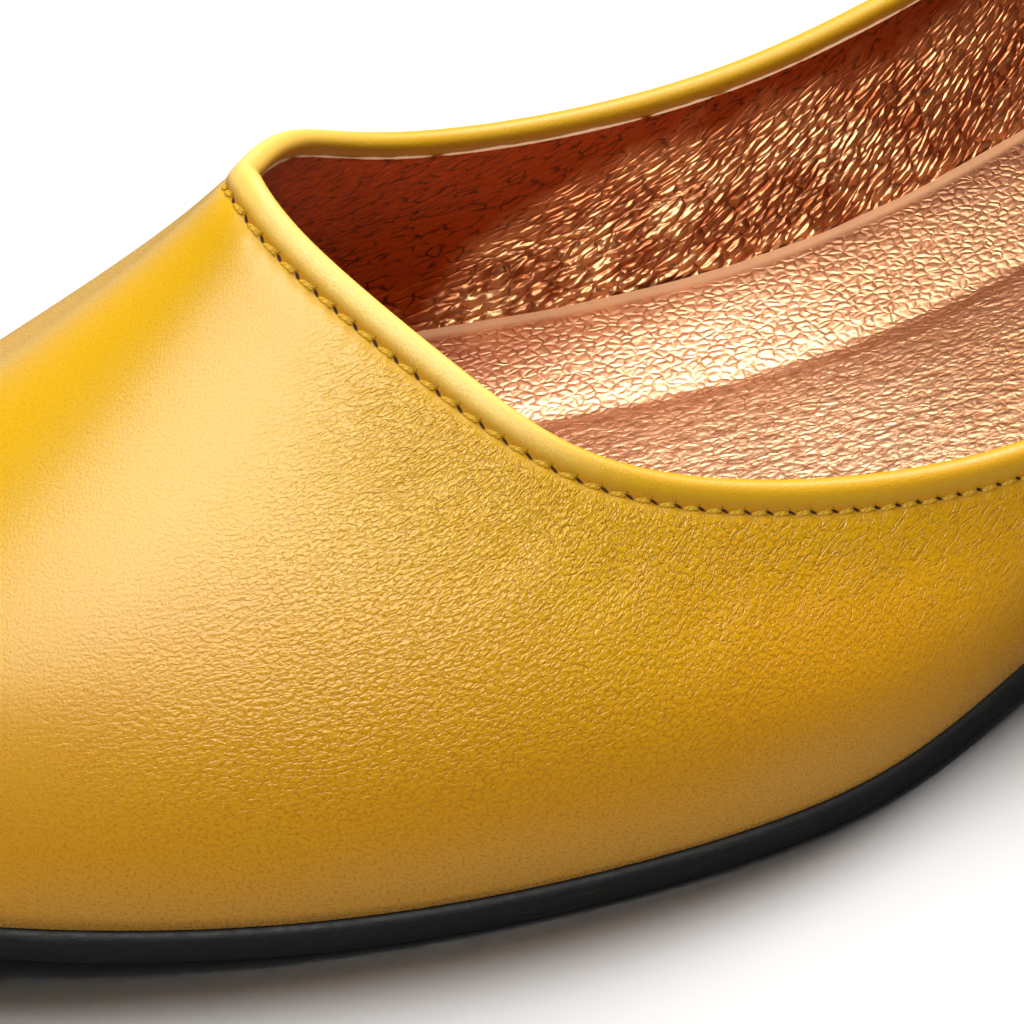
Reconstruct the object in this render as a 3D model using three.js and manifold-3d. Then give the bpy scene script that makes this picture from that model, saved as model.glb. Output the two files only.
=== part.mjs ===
// Ballet flat for the left foot: a leather upper with a folded topline, a thin rubber outsole with a
// low heel moulded in one with it, and a padded insole.
// Millimetres, +X towards the toe, +Y towards the outer side of the foot, +Z up, standing on z = 0.
import * as THREE from "three";
import { LoftGeometry } from "three/addons/geometries/LoftGeometry.js";
import { mergeGeometries, mergeVertices } from "three/addons/utils/BufferGeometryUtils.js";
import Module from "manifold-3d";

// Driving dimensions of the last
const LENGTH = 247.5;
const BALL_HALF_WIDTH = 42.5;
const HEEL_HALF_WIDTH = 28;
const VAMP_HEIGHT = 52.5;
const BACK_HEIGHT = 58;

// Sole line seen from the side
const FEATHER_HEIGHT = 4;
const HEEL_SEAT_HEIGHT = 13;
const TOE_SPRING = 4.5;
const HEEL_SEAT_FRONT = 28;
const BALL_BACK = 152;
const BALL_FRONT = 176;

// Upper wall and its folded topline
const WALL = 1.8;
const FOLD_STEP = 0.5;
const FOLD_DEPTH = 2.9;
const FOLD_SLOPE = 0.7;
const INWARD_PULL = 10;

// Outsole and its low heel
const SOLE_EDGE = 3.7;
const SOLE_OUTSET = 0.5;
const SOLE_ROUND = 0.7;
const HEEL_BREAST = 56;
const HEEL_BREAST_SLANT = 4;
const HEEL_TAPER = 1.2;

// Insole
const INSOLE_THICKNESS = 2.6;
const INSOLE_CUP = 1.4;
const INSOLE_CUP_WIDTH = 14;
const INSOLE_SLANT = 1;

// Space between pieces that meet
const GAP = 0.3;

// Mesh steps
const STEPS_PER_ROW = 6;
const WALL_STEPS = 10;
const WALL_STEP_GROWTH = 1.4;
const RIM_STEPS = 6;
const PROFILE_SAMPLES = 48;
const SPLINE_SWEEPS = 40;
const SLOPE_STEP = 0.01;

// One row per section, from the toe along the outer side to the back and along the inner side.
// footX, footY: middle of the wall at the sole, from the back of the heel and the centre line.
// topX, topY, topZ: crest of the topline. lean, rise: degrees from upright at the sole and from
// level at the crest. footReach, topReach: how far the wall holds those two directions.
const SECTIONS = [
  { at: "toe", footX: LENGTH, footY: -6, topX: 178.5, topY: -6, topZ: VAMP_HEIGHT,
    lean: 13, footReach: 15.5, rise: 36, topReach: 37 },
  { at: "outer toe", footX: 233, footY: 12, topX: 177.5, topY: 1.5, topZ: 49.5,
    lean: 13, footReach: 15.5, rise: 32, topReach: 36 },
  { at: "little toe", footX: 197, footY: 32.5, topX: 170, topY: 16.5, topZ: 41.5,
    lean: 14, footReach: 13, rise: 38, topReach: 26 },
  { at: "outer ball", footX: 155, footY: BALL_HALF_WIDTH, topX: 156, topY: 28, topZ: 33.5,
    lean: 16, footReach: 14, rise: 55, topReach: 16 },
  { at: "outer waist", footX: 127, footY: 39, topX: 121, topY: 34.5, topZ: 28.5,
    lean: 14, footReach: 14, rise: 72, topReach: 12 },
  { at: "outer shank", footX: 89, footY: 30.5, topX: 85, topY: 31.5, topZ: 36,
    lean: 12, footReach: 15, rise: 80, topReach: 14 },
  { at: "outer heel", footX: 42, footY: HEEL_HALF_WIDTH, topX: 43, topY: 26.5, topZ: 47,
    lean: 10, footReach: 18, rise: 85, topReach: 18 },
  { at: "outer heel corner", footX: 12, footY: 19.5, topX: 14, topY: 17, topZ: 55,
    lean: 11, footReach: 20, rise: 87, topReach: 20 },
  { at: "back", footX: 3, footY: 0, topX: 7, topY: 0, topZ: BACK_HEIGHT,
    lean: 12, footReach: 22, rise: 89, topReach: 20 },
  { at: "inner heel corner", footX: 12, footY: -19.5, topX: 14, topY: -17, topZ: 55,
    lean: 11, footReach: 20, rise: 87, topReach: 20 },
  { at: "inner heel", footX: 42, footY: -26.5, topX: 43, topY: -25, topZ: 48,
    lean: 10, footReach: 18, rise: 85, topReach: 18 },
  { at: "inner shank", footX: 85, footY: -22, topX: 84, topY: -23, topZ: 40,
    lean: 8, footReach: 15, rise: 80, topReach: 14 },
  { at: "inner waist", footX: 124.5, footY: -24, topX: 118.5, topY: -23.5, topZ: 33.5,
    lean: 10, footReach: 14, rise: 74, topReach: 12 },
  { at: "inner ball", footX: 170, footY: -36, topX: 149.5, topY: -26.5, topZ: 35,
    lean: 14, footReach: 14.5, rise: 60, topReach: 15 },
  { at: "big toe", footX: 209, footY: -33, topX: 165, topY: -23.5, topZ: 42,
    lean: 14, footReach: 14, rise: 46, topReach: 24 },
  { at: "inner toe", footX: 237.5, footY: -21.5, topX: 175, topY: -13, topZ: 48.5,
    lean: 12, footReach: 14, rise: 42, topReach: 35 },
];
const COLUMNS = SECTIONS.length * STEPS_PER_ROW;

const wasm = await Module();
wasm.setup();

// Smooth closed curve through one column of the section table
function closedSpline(column) {
  const values = SECTIONS.map((section) => section[column]);
  const count = values.length;
  const control = [...values];
  for (let sweep = 0; sweep < SPLINE_SWEEPS; sweep += 1) {
    for (let i = 0; i < count; i += 1) {
      control[i] = (6 * values[i] - control[(i + count - 1) % count] - control[(i + 1) % count]) / 4;
    }
  }
  return (row) => {
    const first = Math.floor(row);
    const u = row - first;
    const weights = [
      (1 - u) ** 3,
      3 * u ** 3 - 6 * u ** 2 + 4,
      1 + 3 * u + 3 * u ** 2 - 3 * u ** 3,
      u ** 3,
    ];
    const near = (i) => control[(first + i + 2 * count - 1) % count];
    return weights.reduce((sum, weight, i) => sum + weight * near(i), 0) / 6;
  };
}

const measures = Object.keys(SECTIONS[0]).filter((column) => column !== "at");
const last = Object.fromEntries(measures.map((column) => [column, closedSpline(column)]));

// Height of the line where upper and sole meet: toe spring, level ball, arch and heel seat
function featherHeight(x) {
  const spring = Math.max(0, (x - BALL_FRONT) / (LENGTH - BALL_FRONT));
  const arch = THREE.MathUtils.smoothstep(BALL_BACK - x, 0, BALL_BACK - HEEL_SEAT_FRONT);
  return FEATHER_HEIGHT + TOE_SPRING * spring ** 2 + (HEEL_SEAT_HEIGHT - FEATHER_HEIGHT) * arch;
}

function footPoint(row) {
  const x = last.footX(row);
  return new THREE.Vector3(x, last.footY(row), featherHeight(x));
}

// Level direction away from the foot at the sole
function footNormal(row) {
  const along = footPoint(row + SLOPE_STEP).sub(footPoint(row - SLOPE_STEP));
  return new THREE.Vector3(along.y, -along.x, 0).normalize();
}

// Middle of the wall in one section, from the sole up to the crest of the topline
function wallCurve(row) {
  const foot = footPoint(row);
  const top = new THREE.Vector3(last.topX(row), last.topY(row), last.topZ(row));
  const outward = footNormal(row);
  const inward = top.clone().sub(foot).setZ(0).addScaledVector(outward, -INWARD_PULL).normalize();
  const lean = THREE.MathUtils.degToRad(last.lean(row));
  const rise = THREE.MathUtils.degToRad(last.rise(row));
  const start = outward.multiplyScalar(Math.sin(lean)).setZ(Math.cos(lean));
  const end = inward.multiplyScalar(Math.cos(rise)).setZ(Math.sin(rise));
  const curve = new THREE.CubicBezierCurve3(
    foot,
    foot.clone().addScaledVector(start, last.footReach(row)),
    top.clone().addScaledVector(end, -last.topReach(row)),
    top,
  );
  curve.arcLengthDivisions = PROFILE_SAMPLES;
  return curve;
}

// Point, upward direction and outward normal of the wall at a share of its height
function wallFrame(row, share) {
  const curve = wallCurve(row);
  const point = curve.getPointAt(share);
  const upward = curve.getTangentAt(share);
  const ahead = wallCurve(row + SLOPE_STEP).getPointAt(share);
  const along = ahead.sub(wallCurve(row - SLOPE_STEP).getPointAt(share));
  const normal = share > 0 ? along.cross(upward).normalize() : footNormal(row);
  return { point, upward, normal };
}

// Closed solid from skins that share their edges, without triangles that have shrunk to a line
function joinSkins(...skins) {
  for (const skin of skins) {
    skin.deleteAttribute("normal");
    skin.deleteAttribute("uv");
  }
  const solid = mergeVertices(mergeGeometries(skins));
  const corners = [...solid.getIndex().array];
  const kept = [];
  for (let i = 0; i < corners.length; i += 3) {
    const triangle = corners.slice(i, i + 3);
    if (new Set(triangle).size === 3) kept.push(...triangle);
  }
  solid.setIndex(kept);
  return solid;
}

// Strips across a ring, each from a point on the inner side to its partner on the outer side
function acrossRing(points, facesUp) {
  const rungs = [];
  for (let i = 0; i <= points.length / 2; i += 1) {
    const rung = [points[(points.length - i) % points.length], points[i]];
    rungs.push(facesUp ? rung : rung.reverse());
  }
  return new LoftGeometry(rungs, { closed: false });
}

// Solid from a stack of rings, lowest first, closed across its first and last ring
function stackSolid(rings) {
  return joinSkins(
    new LoftGeometry(rings),
    acrossRing(rings[0], false),
    acrossRing(rings.at(-1), true),
  );
}

// One ring around the shoe, from a function of the section row
function ring(pointAt) {
  return Array.from({ length: COLUMNS }, (_, column) => pointAt(column / STEPS_PER_ROW));
}

// Ring that follows the sole line, moved outwards and up from it
function soleRing(outward, heightAt) {
  return ring((row) => {
    const point = footPoint(row);
    const height = heightAt(point);
    return point.addScaledVector(footNormal(row), outward).setZ(height);
  });
}

function makeUpper() {
  const rimRadius = WALL / 2 + FOLD_STEP / 2;
  const half = WALL / 2;
  // Each ring lies at a share of the wall's height and at an offset from its middle
  const wallRing = (shareAt, offset) => ring((row) => {
    const share = shareAt(wallCurve(row).getLength());
    const { point, normal } = wallFrame(row, share);
    return point.addScaledVector(normal, offset);
  });
  const foldEnd = FOLD_DEPTH + FOLD_SLOPE;
  const below = (distance) => (length) => 1 - distance / length;
  const underFold = (part) => (length) => part * (1 - foldEnd / length);
  const side = (sign) => Array.from(
    { length: WALL_STEPS + 1 },
    (_, i) => wallRing(underFold((i / WALL_STEPS) ** WALL_STEP_GROWTH), sign * half),
  );
  const rim = Array.from({ length: RIM_STEPS + 1 }, (_, i) => {
    const angle = (i / RIM_STEPS) * Math.PI;
    return ring((row) => {
      const share = 1 - rimRadius / wallCurve(row).getLength();
      const { point, upward, normal } = wallFrame(row, share);
      point.addScaledVector(normal, FOLD_STEP / 2 + rimRadius * Math.cos(angle));
      return point.addScaledVector(upward, rimRadius * Math.sin(angle));
    });
  });
  const foldLip = wallRing(below(FOLD_DEPTH), half + FOLD_STEP);
  const rings = [...side(1), foldLip, ...rim, ...side(-1).reverse()];
  return joinSkins(new LoftGeometry([...rings, rings[0]]));
}

function toManifold(geometry) {
  const vertProperties = new Float32Array(geometry.getAttribute("position").array);
  const triVerts = new Uint32Array(geometry.getIndex().array);
  return new wasm.Manifold(new wasm.Mesh({ numProp: 3, vertProperties, triVerts }));
}

function fromManifold(solid) {
  const mesh = solid.getMesh();
  const geometry = new THREE.BufferGeometry();
  geometry.setAttribute("position", new THREE.Float32BufferAttribute(mesh.vertProperties, 3));
  geometry.setIndex([...mesh.triVerts]);
  return geometry;
}

function makeOutsole() {
  const edge = WALL / 2 + SOLE_OUTSET;
  const plateTop = (point) => point.z - GAP;
  const plateBottom = (point) => plateTop(point) - SOLE_EDGE;
  const plate = stackSolid([
    soleRing(edge - SOLE_ROUND, plateBottom),
    soleRing(edge, (point) => plateBottom(point) + SOLE_ROUND),
    soleRing(edge, (point) => plateTop(point) - SOLE_ROUND),
    soleRing(edge - SOLE_ROUND, plateTop),
  ]);
  // The heel starts inside the plate, narrows a little to the floor and ends at a slanted breast
  const lift = stackSolid([
    soleRing(edge - HEEL_TAPER - SOLE_ROUND, () => 0),
    soleRing(edge - HEEL_TAPER, () => SOLE_ROUND),
    soleRing(edge - SOLE_ROUND / 2, (point) => plateTop(point) - SOLE_EDGE / 2),
  ]);
  const breast = new THREE.Shape([
    new THREE.Vector2(-LENGTH, -HEEL_SEAT_HEIGHT),
    new THREE.Vector2(HEEL_BREAST - HEEL_BREAST_SLANT, -HEEL_SEAT_HEIGHT),
    new THREE.Vector2(HEEL_BREAST + HEEL_BREAST_SLANT, HEEL_SEAT_HEIGHT),
    new THREE.Vector2(-LENGTH, HEEL_SEAT_HEIGHT),
  ]);
  const behindBreast = new THREE.ExtrudeGeometry(breast, {
    depth: 4 * BALL_HALF_WIDTH,
    bevelEnabled: false,
  });
  behindBreast.rotateX(Math.PI / 2).translate(0, 2 * BALL_HALF_WIDTH, 0);
  const heel = toManifold(lift).intersect(toManifold(joinSkins(behindBreast)));
  return fromManifold(toManifold(plate).add(heel));
}

function makeInsole() {
  const edge = -WALL / 2 - GAP;
  const raised = (height) => (point) => point.z + height;
  return stackSolid([
    soleRing(edge, raised(0)),
    soleRing(edge - INSOLE_SLANT / 2, raised(INSOLE_THICKNESS)),
    soleRing(edge - INSOLE_SLANT, raised(INSOLE_THICKNESS + INSOLE_CUP)),
    soleRing(edge - INSOLE_CUP_WIDTH / 2, raised(INSOLE_THICKNESS + INSOLE_CUP / 2)),
    soleRing(edge - INSOLE_CUP_WIDTH, raised(INSOLE_THICKNESS)),
  ]);
}

const leather = new THREE.MeshStandardMaterial({ color: 0xd9a02f, roughness: 0.5, metalness: 0 });
const rubber = new THREE.MeshStandardMaterial({ color: 0x1b1b1d, roughness: 0.8, metalness: 0 });
const copperSock = new THREE.MeshStandardMaterial({ color: 0xc48257, roughness: 0.4, metalness: 0.6 });

const pieces = [
  { name: "outsole", geometry: makeOutsole(), material: rubber },
  { name: "insole", geometry: makeInsole(), material: copperSock },
  { name: "upper", geometry: makeUpper(), material: leather },
];

const shoe = new THREE.Group();
for (const { name, geometry, material } of pieces) {
  const mesh = new THREE.Mesh(geometry, material);
  mesh.name = name;
  shoe.add(mesh);
}

// The shoe stands with the middle of its box over the origin
const middle = new THREE.Box3().setFromObject(shoe).getCenter(new THREE.Vector3());
shoe.position.set(-middle.x, -middle.y, 0);

export default shoe;
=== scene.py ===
import math

import bmesh
import bpy
import numpy as np
from mathutils import Matrix, Vector


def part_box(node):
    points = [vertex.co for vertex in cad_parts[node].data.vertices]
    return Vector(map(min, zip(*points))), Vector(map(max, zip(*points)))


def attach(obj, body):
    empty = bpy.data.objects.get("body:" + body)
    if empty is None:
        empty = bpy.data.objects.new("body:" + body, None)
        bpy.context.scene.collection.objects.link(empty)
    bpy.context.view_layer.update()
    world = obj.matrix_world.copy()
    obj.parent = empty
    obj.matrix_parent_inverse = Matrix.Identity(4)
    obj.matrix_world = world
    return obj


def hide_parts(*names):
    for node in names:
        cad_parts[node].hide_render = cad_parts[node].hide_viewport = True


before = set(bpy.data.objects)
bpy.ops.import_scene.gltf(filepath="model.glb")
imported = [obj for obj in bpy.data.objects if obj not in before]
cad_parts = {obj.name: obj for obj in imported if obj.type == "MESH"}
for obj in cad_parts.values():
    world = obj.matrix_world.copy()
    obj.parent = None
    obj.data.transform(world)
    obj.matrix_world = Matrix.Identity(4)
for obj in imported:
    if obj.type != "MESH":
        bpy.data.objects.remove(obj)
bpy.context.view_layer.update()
mm = 0.001

# the last in mm: rows run from the toe along the outer side to the back, then along the inner side
last = {
    "footX": (247.5, 233, 197, 155, 127, 89, 42, 12, 3, 12, 42, 85, 124.5, 170, 209, 237.5),
    "footY": (-6, 12, 32.5, 42.5, 39, 30.5, 28, 19.5, 0, -19.5, -26.5, -22, -24, -36, -33, -21.5),
    "topX": (178.5, 177.5, 170, 156, 121, 85, 43, 14, 7, 14, 43, 84, 118.5, 149.5, 165, 175),
    "topY": (-6, 1.5, 16.5, 28, 34.5, 31.5, 26.5, 17, 0, -17, -25, -23, -23.5, -26.5, -23.5, -13),
    "topZ": (52.5, 49.5, 41.5, 33.5, 28.5, 36, 47, 55, 58, 55, 48, 40, 33.5, 35, 42, 48.5),
    "lean": (13, 13, 14, 16, 14, 12, 10, 11, 12, 11, 10, 8, 10, 14, 14, 12),
    "footReach": (15.5, 15.5, 13, 14, 14, 15, 18, 20, 22, 20, 18, 15, 14, 14.5, 14, 14),
    "rise": (36, 32, 38, 55, 72, 80, 85, 87, 89, 87, 85, 80, 74, 60, 46, 42),
    "topReach": (37, 36, 26, 16, 12, 14, 18, 20, 20, 20, 18, 14, 12, 15, 24, 35),
}
soleLine = {
    "feather": 4,            # from the floor to the upper's lower edge at the ball
    "heelSeat": 13,
    "toeSpring": 4.5,
    "seatFront": 28,         # along the shoe from the back
    "ballBack": 152,
    "ballFront": 176,
    "length": 247.5,
}
rowCount = len(last["footX"])
backRow = rowCount / 2
wall = 1.8                   # upper and lining together
soleOutset = 0.5             # how far the sole stands out past the upper
inwardPull = 10
slopeStep = 0.01
arcSteps = 121
outlineSteps = 3201
levelReach = 3               # mm above the sole within which the wall's normals turn level


def closedSpline(values):
    ring = np.eye(rowCount)
    blend = (4 * ring + np.roll(ring, 1, 0) + np.roll(ring, -1, 0)) / 6
    control = np.linalg.solve(blend, np.array(values, float))

    def at(row):
        first = np.floor(row).astype(int)
        u = row - first
        weights = ((1 - u) ** 3, 3 * u**3 - 6 * u**2 + 4, 1 + 3 * u + 3 * u**2 - 3 * u**3, u**3)
        return sum(w * control[(first + i - 1) % rowCount] for i, w in enumerate(weights)) / 6

    return at


curves = {column: closedSpline(values) for column, values in last.items()}


def smoothStep(x, low, high):
    t = np.clip((x - low) / (high - low), 0, 1)
    return t * t * (3 - 2 * t)


def unit(v):
    return v / np.linalg.norm(v, axis=-1, keepdims=True)


def featherHeight(x):
    line = soleLine
    spring = np.maximum(0, (x - line["ballFront"]) / (line["length"] - line["ballFront"]))
    arch = smoothStep(line["ballBack"] - x, 0, line["ballBack"] - line["seatFront"])
    return line["feather"] + line["toeSpring"] * spring**2 + (line["heelSeat"] - line["feather"]) * arch


def footPoint(row):
    x = curves["footX"](row)
    return np.stack([x, curves["footY"](row), featherHeight(x)], -1)


def footNormal(row):
    along = footPoint(row + slopeStep) - footPoint(row - slopeStep)
    return unit(np.stack([along[..., 1], -along[..., 0], 0 * along[..., 0]], -1))


def crestPoint(row):
    return np.stack([curves[c](row) for c in ("topX", "topY", "topZ")], -1)


def wallCorners(row):     # four corners of each section's curve, from the sole up to the crest
    foot, top, outward = footPoint(row), crestPoint(row), footNormal(row)
    inward = top - foot - inwardPull * outward
    inward[..., 2] = 0
    lean = np.radians(curves["lean"](row))[:, None]
    rise = np.radians(curves["rise"](row))[:, None]
    up = np.array([0, 0, 1.0])
    start = outward * np.sin(lean) + up * np.cos(lean)
    end = unit(inward) * np.cos(rise) + up * np.sin(rise)
    return np.stack([
        foot,
        foot + start * curves["footReach"](row)[:, None],
        top - end * curves["topReach"](row)[:, None],
        top,
    ], 1)


def alongCurve(corners, t):
    a, b, c, d = (corners[:, None, i] for i in range(4))
    t = t[..., None]
    point = a * (1 - t) ** 3 + 3 * b * t * (1 - t) ** 2 + 3 * c * t**2 * (1 - t) + d * t**3
    slope = 3 * (b - a) * (1 - t) ** 2 + 6 * (c - b) * t * (1 - t) + 3 * (d - c) * t**2
    return point, slope


def wallArc(row):
    t = np.linspace(0, 1, arcSteps)
    corners = wallCorners(row)
    line = alongCurve(corners, np.broadcast_to(t, (len(row), len(t))))[0]
    steps = np.linalg.norm(np.diff(line, axis=1), axis=-1)
    return corners, t, np.concatenate([np.zeros((len(row), 1)), np.cumsum(steps, 1)], 1)


def wallLength(row):
    return wallArc(row)[2][:, -1]


def wallPoint(row, below):     # middle of the wall, below the crest by mm measured along the wall
    corners, t, arc = wallArc(row)
    height = arc[:, -1:] - below
    found = np.array([np.interp(h, a, t) for h, a in zip(height, arc)])
    return alongCurve(corners, found)


def wallFrame(row, below):
    point, upward = wallPoint(row, below)
    along = unit(wallPoint(row + slopeStep, below)[0] - wallPoint(row - slopeStep, below)[0])
    upward = unit(upward)
    normal = unit(np.cross(along, upward))
    nearFoot = smoothStep(wallLength(row)[:, None] - below, 0, levelReach)[..., None]
    normal = unit(normal * nearFoot + footNormal(row)[:, None] * (1 - nearFoot))
    return point, along, upward, normal


def soleEdge(row, outward):
    return footPoint(row) + footNormal(row) * outward


# the frame's origin is under the middle of the outsole's box
soleLow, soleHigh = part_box("outsole")
outline = soleEdge(np.linspace(0, rowCount, outlineSteps), wall / 2 + soleOutset)
middle = (outline.max(0) + outline.min(0)) / 2
boxMiddle = np.array([(soleLow[0] + soleHigh[0]) / 2, (soleLow[1] + soleHigh[1]) / 2, 0])
shift = boxMiddle - middle * (mm, mm, 0)


def inFrame(points):
    return points * mm + shift


# a grid laid on a worked-out surface, its seams merged
def gridPiece(name, points, uv, skin=None, sharpAngle=None):
    columns, rows = points.shape[0] - 1, points.shape[1] - 1
    bm = bmesh.new()
    bm.loops.layers.uv.new("UVMap")
    bmesh.ops.create_grid(bm, x_segments=columns, y_segments=rows, size=0.5, calc_uvs=True)
    mesh = bpy.data.meshes.new(name)
    bm.to_mesh(mesh)
    flat = np.empty(len(mesh.vertices) * 3)
    mesh.vertices.foreach_get("co", flat)
    flat = flat.reshape(-1, 3)
    i = np.rint((flat[:, 0] + 0.5) * columns).astype(int)
    j = np.rint((flat[:, 1] + 0.5) * rows).astype(int)
    mesh.vertices.foreach_set("co", inFrame(points[i, j]).astype(np.float32).ravel())
    corner = np.empty(len(mesh.loops), dtype=np.int32)
    mesh.loops.foreach_get("vertex_index", corner)

    def fillMap(layer, values):
        layer.uv.foreach_set("vector", values[i[corner], j[corner]].astype(np.float32).ravel())

    fillMap(mesh.uv_layers[0], uv)
    if skin is not None:
        fillMap(mesh.uv_layers.new(name="skin"), skin)
    bm.clear()
    bm.from_mesh(mesh)
    bmesh.ops.remove_doubles(bm, verts=bm.verts, dist=1e-6)
    bmesh.ops.dissolve_degenerate(bm, edges=bm.edges, dist=1e-7)
    bmesh.ops.recalc_face_normals(bm, faces=bm.faces)
    bm.to_mesh(mesh)
    bm.free()
    mesh.shade_smooth()
    if sharpAngle:
        mesh.set_sharp_from_angle(angle=math.radians(sharpAngle))
    piece = bpy.data.objects.new(name, mesh)
    bpy.context.collection.objects.link(piece)
    return piece


def finishPiece(piece, slot, material, *replaced):
    piece.data.materials.clear()
    piece.data.materials.append(material)
    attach(piece, "root")
    if replaced:
        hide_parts(*replaced)
    print(piece.name, len(piece.data.polygons), "faces")
    return piece


# columns of the upper: even steps along the topline from the back, a whole number of stitches round
topline = {"pitch": 2.15, "columnsPerStitch": 4, "stitchLine": 3.15, "steps": 6401}
denseRows = np.linspace(backRow, backRow + rowCount, topline["steps"])
crest = crestPoint(denseRows)
toplineArc = np.concatenate([[0], np.cumsum(np.linalg.norm(np.diff(crest, axis=0), axis=1))])
stitchCount = round(toplineArc[-1] / topline["pitch"])
stitchPitch = toplineArc[-1] / stitchCount
toeStitch = float(np.interp(rowCount, denseRows, toplineArc)) / stitchPitch


def rowAtStitch(stitch):
    return np.interp(stitch * stitchPitch, toplineArc, denseRows)


def skinMap(row, below):     # flat map of the wall: mm round the shoe at half height, mm below the crest
    half = wallPoint(row, wallLength(row)[:, None] / 2)[0][:, 0]
    girth = np.concatenate([[0], np.cumsum(np.linalg.norm(np.diff(half, axis=0), axis=1))])
    return np.stack([np.broadcast_to(girth[:, None], below.shape), below], -1)


print("topline", round(toplineArc[-1], 1), "mm,", stitchCount, "stitches")


# soft waves of fixed phase, used where skin isn't quite even
def ripple(a, b, seed, count=9):
    draw = np.random.default_rng(seed)
    total = 0
    for _ in range(count):
        ka, kb, phase = draw.normal(), draw.normal(), draw.uniform(0, 2 * math.pi)
        total = total + np.sin(a * ka + b * kb + phase)
    return total / math.sqrt(count / 2)


# upper: one skin over the outside of the wall, round the folded topline and down behind the lining
upperShape = {
    "rimRadius": 1.15,       # half round of the folded edge
    "rimSteps": 11,
    "foldOut": 0.25,
    "foldBow": 2.6,          # how full the roll stays on its way to the stitch line
    "groove": 0.6,           # how far out the skin is at the stitch line
    "grooveWidth": 0.6,
    "swell": 0.12,           # low swelling just under the stitches
    "swellReach": 2,
    "wallRows": 25,
    "wallCrowding": 0.95,
    "bands": (14, 4.0, 2.6),                            # mm below the crest, rows closer in each
    "bandRows": (17, 9, 8),
    "turnedIn": (1.4, 1.7, 2.0, 2.3, 2.9, 3.4),         # mm below the crest, inside
    "turnedInAt": (-0.86, -0.82, -0.8, -0.78, -0.7, -0.3),
    "hiddenRows": 9,
    "pucker": 0.1,
    "puckerWidth": 0.9,
    "creasesFrom": (0.3, 2),                            # mm below the stitch line
}
# soft troughs under the topline where the shoe bends: stitches from the toe (outer side first), mm below
# the crest, length, width and depth in mm, turn in degrees
creaseColumns = ("stitch", "below", "length", "width", "depth", "turn")
creaseRidge = {"height": 0.45, "aside": 1.7}            # the low ridge beside a trough
vampCreases = [
    (12, 10, 9, 1.5, 0.10, -45),
    (15, 12, 12, 1.8, 0.13, -44),
    (18, 11, 10, 1.6, 0.11, -42),
    (21, 13, 12, 1.9, 0.12, -40),
    (25, 11, 10, 1.7, 0.10, -36),
    (30, 10, 9, 1.6, 0.08, -32),
    (-13, 10, 9, 1.5, 0.10, 45),
    (-18, 12, 12, 1.8, 0.12, 42),
    (-24, 11, 10, 1.7, 0.10, 38),
    (-31, 10, 9, 1.6, 0.08, 32),
]


def creased(skin, stitch, rows):     # depth of the troughs and ridges on a flat map of the wall
    total = np.zeros(skin.shape[:2])
    for row in rows:
        c = dict(zip(creaseColumns, row))
        across = skin[..., 0] - np.interp(toeStitch + c["stitch"], stitch, skin[:, 0, 0])
        down = skin[..., 1] - c["below"]
        turn = math.radians(c["turn"])
        along = across * math.cos(turn) + down * math.sin(turn)
        aside = (down * math.cos(turn) - across * math.sin(turn)) / c["width"]
        trough = np.exp(-aside**2)
        trough = trough - creaseRidge["height"] * np.exp(-((aside - creaseRidge["aside"]) ** 2))
        total += c["depth"] * trough * np.exp(-((2 * along / c["length"]) ** 2))
    return total


def foldOffset(d):
    s = upperShape
    flank = np.clip((d - s["rimRadius"]) / (topline["stitchLine"] - s["rimRadius"]), 0, 1)
    roll = s["foldOut"] + s["rimRadius"]
    onRoll = s["groove"] + (roll - s["groove"]) * (1 - flank ** s["foldBow"])
    past = np.maximum(d - topline["stitchLine"], 0)
    swell = s["swell"] * past / s["swellReach"] * np.exp(1 - past / s["swellReach"])
    onWall = wall / 2 + swell - (wall / 2 - s["groove"]) * np.exp(-past / s["grooveWidth"])
    return np.where(d < topline["stitchLine"], onRoll, onWall)


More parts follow.
